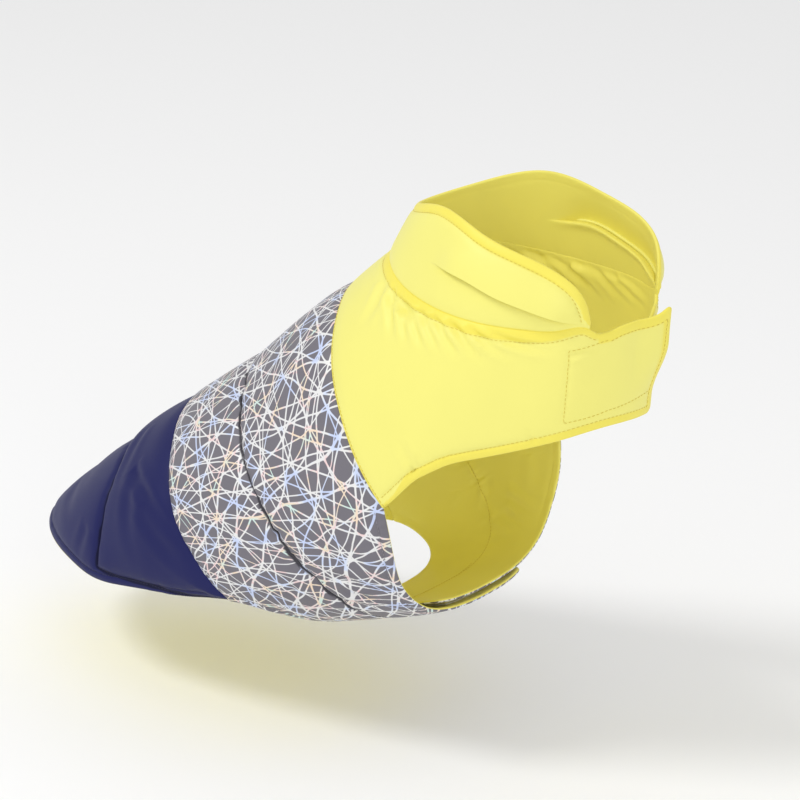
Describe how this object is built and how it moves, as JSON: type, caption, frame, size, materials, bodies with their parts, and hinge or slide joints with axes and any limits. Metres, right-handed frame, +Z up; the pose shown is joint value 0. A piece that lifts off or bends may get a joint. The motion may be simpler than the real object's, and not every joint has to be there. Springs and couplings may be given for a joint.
{
  "type": "dog puffer jacket",
  "caption": "Quilted winter jacket for a small dog, in its worn seated form: stand collar, shoulder yoke with chest flaps, quilted back and belly flaps.",
  "frame": {"origin": "on the spine line at the withers, on the inner face of the yoke, where the wearer's back holds the jacket", "axes": "+X towards the wearer's nose, +Y towards the wearer's left, +Z up"},
  "size_m": [0.467, 0.1934, 0.2883],
  "materials": {
    "yellow_shell": "soft satin polyester shell, lined in the same yellow",
    "printed_shell": "grey polyester with a pale reflective line print",
    "navy_shell": "satin polyester shell",
    "hook_tape": "woven tape with moulded hooks",
    "loop_tape": "brushed loop tape"
  },
  "bodies": {
    "root": {"collar": "yellow_shell", "yoke": "yellow_shell", "middle_panel": "printed_shell", "rear_panel": "navy_shell", "chest_hook_tape": "hook_tape", "chest_loop_tape": "loop_tape", "belly_hook_tape": "hook_tape", "belly_loop_tape": "loop_tape"}
  },
  "joints": []
}
